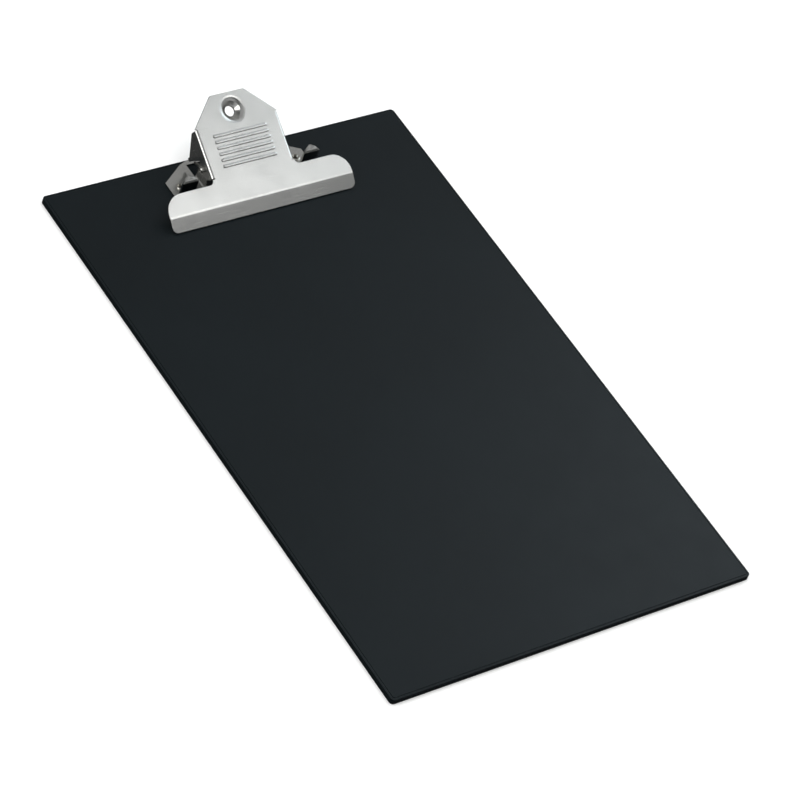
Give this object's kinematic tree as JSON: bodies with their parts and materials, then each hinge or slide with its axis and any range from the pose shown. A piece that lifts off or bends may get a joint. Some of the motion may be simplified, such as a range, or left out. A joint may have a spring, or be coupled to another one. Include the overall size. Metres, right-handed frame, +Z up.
{
  "type": "clipboard",
  "caption": "Foolscap clipboard: a film-covered stiff board with a sprung steel jaw clip that opens by a lever with a hanging hole.",
  "frame": {"origin": "centre of the board's flat underside", "axes": "+X across the board, +Y along it towards the clip, +Z up out of the writing face"},
  "size_m": [0.229, 0.3679, 0.0379],
  "materials": {
    "cover_film": "satin embossed film, black with a blue-green cast",
    "greyboard": "pressed fibre board",
    "nickel_lever": "satin nickel plate",
    "nickel_base": "satin nickel plate",
    "pin_steel": "drawn steel",
    "spring_steel": "oiled spring wire",
    "rivet_plate": "bright plated"
  },
  "bodies": {
    "board": {"board_core": "greyboard", "front_cover": "cover_film", "back_cover": "cover_film", "base_plate": "nickel_base", "pivot_pin": "pin_steel", "left_spring": "spring_steel", "right_spring": "spring_steel", "left_rivet": "rivet_plate", "right_rivet": "rivet_plate", "left_washer": "rivet_plate", "right_washer": "rivet_plate"},
    "clamp": {"clamp_plate": "nickel_lever"}
  },
  "joints": [
    {"name": "clamp_pivot", "type": "hinge", "parent": "board", "child": "clamp", "pos_m": [0, 0.1598, 0.0153], "axis": [-1, 0, 0], "range_deg": [0, 21], "stiffness_Nm_per_rad": 1.2, "springref_deg": -28.65, "deforming": ["left_spring", "right_spring"]}
  ]
}
